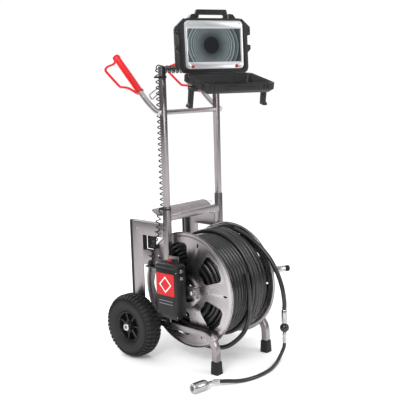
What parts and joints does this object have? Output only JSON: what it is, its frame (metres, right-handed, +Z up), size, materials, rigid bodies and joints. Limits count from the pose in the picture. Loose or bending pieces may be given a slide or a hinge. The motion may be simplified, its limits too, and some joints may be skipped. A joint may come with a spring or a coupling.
{
  "type": "pipe inspection trolley",
  "caption": "Two-wheeled stainless trolley carrying a push-cable reel with a camera head, a control box, bent handles and a monitor in a hard case.",
  "frame": {"origin": "on the floor, under the middle of the trolley without its free cable", "axes": "+Z up, -Y to the front where the reel, the feet and the monitor are, +Y to the wheels and handles, X along the wheel axle with the control box on -X"},
  "size_m": [0.6083, 0.696, 1.3627],
  "materials": {
    "brushed_steel": "satin",
    "polished_steel": "polished",
    "black_rubber": "matte",
    "tyre_rubber": "matte",
    "black_plastic": "matte",
    "cable_jacket": "satin",
    "red_plastic": "gloss",
    "label_print": "satin",
    "bezel_aluminium": "brushed",
    "screen_glass": "gloss"
  },
  "bodies": {
    "trolley": {"side_tube_left": "brushed_steel", "side_tube_right": "brushed_steel", "foot_cap_left": "black_rubber", "foot_cap_right": "black_rubber", "lower_frame": "brushed_steel", "side_plate_left": "brushed_steel", "side_plate_right": "brushed_steel", "skid_strip_left": "black_rubber", "skid_strip_right": "black_rubber", "terminal_block": "black_plastic", "accessory_tray": "brushed_steel", "wheel_axle": "polished_steel", "reel_shaft": "polished_steel", "reel_arm_left": "brushed_steel", "reel_arm_right": "brushed_steel", "control_box": "black_plastic", "control_box_lid": "black_plastic", "label_panel": "label_print", "box_hanger": "brushed_steel", "curly_cord_plug": "black_rubber", "curly_cord_lower": "cable_jacket", "camera_holder": "brushed_steel", "push_cable": "cable_jacket", "camera_hose": "cable_jacket", "upper_ferrule": "polished_steel", "lower_ferrule": "polished_steel", "head_ferrule": "polished_steel", "skid_ball": "black_plastic", "camera_head": "polished_steel"},
    "wheel_left": {"tyre_left": "tyre_rubber", "rim_left": "black_plastic"},
    "wheel_right": {"tyre_right": "tyre_rubber", "rim_right": "black_plastic"},
    "reel": {"reel_flange_left": "polished_steel", "reel_flange_right": "polished_steel", "reel_core": "black_plastic", "wound_cable": "cable_jacket", "slack_turn": "cable_jacket"},
    "lock_pin": {"reel_lock_pin": "polished_steel"},
    "power_rocker": {"power_rocker": "red_plastic"},
    "holder_knob": {"holder_knob": "black_rubber"},
    "upper_frame": {"upper_frame": "brushed_steel", "handle_tube_left": "polished_steel", "handle_tube_right": "polished_steel", "grip_left": "red_plastic", "grip_right": "red_plastic", "cable_hook": "polished_steel", "swivel_arm": "black_plastic", "curly_cord_long": "cable_jacket", "curly_cord_bar": "cable_jacket"},
    "monitor_swivel": {"swivel_bracket": "black_plastic"},
    "monitor": {"monitor_case": "black_plastic", "monitor_bezel": "bezel_aluminium", "screen": "screen_glass"},
    "button_left": {"monitor_button_left": "red_plastic"},
    "button_right": {"monitor_button_right": "red_plastic"},
    "carry_handle": {"carry_handle": "black_plastic"},
    "case_lid": {"case_lid": "black_plastic"},
    "latch_left": {"latch_left": "black_plastic"},
    "latch_right": {"latch_right": "black_plastic"}
  },
  "joints": [
    {"name": "wheel_left_spin", "type": "hinge", "parent": "trolley", "child": "wheel_left", "pos_m": [-0.213, 0.195, 0.13], "axis": [1, 0, 0], "continuous": true},
    {"name": "wheel_right_spin", "type": "hinge", "parent": "trolley", "child": "wheel_right", "pos_m": [0.213, 0.195, 0.13], "axis": [1, 0, 0], "continuous": true},
    {"name": "reel_spin", "type": "hinge", "parent": "trolley", "child": "reel", "pos_m": [0, -0.0336, 0.295], "axis": [1, 0, 0], "continuous": true},
    {"name": "reel_lock_slide", "type": "slide", "parent": "trolley", "child": "lock_pin", "axis": [-1, 0, 0], "range_m": [0, 0.008]},
    {"name": "power_switch_rock", "type": "hinge", "parent": "trolley", "child": "power_rocker", "pos_m": [-0.195, -0.005, 0.4175], "axis": [1, 0, 0], "range_deg": [-10, 10]},
    {"name": "holder_knob_turn", "type": "hinge", "parent": "trolley", "child": "holder_knob", "pos_m": [0.19494, -0.26208, 0.349], "axis": [0.867, -0.4983, 0], "continuous": true},
    {"name": "upper_frame_slide", "type": "slide", "parent": "trolley", "child": "upper_frame", "axis": [0, 0, 1], "range_m": [-0.33, 0], "deforming": ["curly_cord_long"]},
    {"name": "monitor_swivel_turn", "type": "hinge", "parent": "upper_frame", "child": "monitor_swivel", "pos_m": [0.0274, -0.0115, 1.1556], "axis": [0, 0, 1], "range_deg": [-3, 50]},
    {"name": "monitor_tilt_turn", "type": "hinge", "parent": "monitor_swivel", "child": "monitor", "pos_m": [0.01529, -0.03895, 1.178], "axis": [-0.915, 0.4035, 0], "range_deg": [-8, 15]},
    {"name": "button_left_press", "type": "slide", "parent": "monitor", "child": "button_left", "axis": [0.4032, 0.9141, -0.0436], "range_m": [0, 0.0015], "stiffness_N_per_m": 150},
    {"name": "button_right_press", "type": "slide", "parent": "monitor", "child": "button_right", "axis": [0.4032, 0.9141, -0.0436], "range_m": [0, 0.0015], "stiffness_N_per_m": 150},
    {"name": "carry_handle_fold", "type": "hinge", "parent": "monitor", "child": "carry_handle", "pos_m": [-0.00088, -0.07562, 1.3374], "axis": [0.915, -0.4035, 0], "range_deg": [-20, 20]},
    {"name": "case_lid_turn", "type": "hinge", "parent": "monitor", "child": "case_lid", "pos_m": [-0.01721, -0.11264, 1.12146], "axis": [-0.915, 0.4035, 0], "range_deg": [0, 104]},
    {"name": "latch_left_swing", "type": "hinge", "parent": "case_lid", "child": "latch_left", "pos_m": [-0.19157, -0.14247, 1.07105], "axis": [0.3947, 0.895, 0.2079], "range_deg": [0, 100]},
    {"name": "latch_right_swing", "type": "hinge", "parent": "case_lid", "child": "latch_right", "pos_m": [0.07834, -0.26151, 1.07105], "axis": [-0.3947, -0.895, -0.2079], "range_deg": [0, 100]}
  ]
}
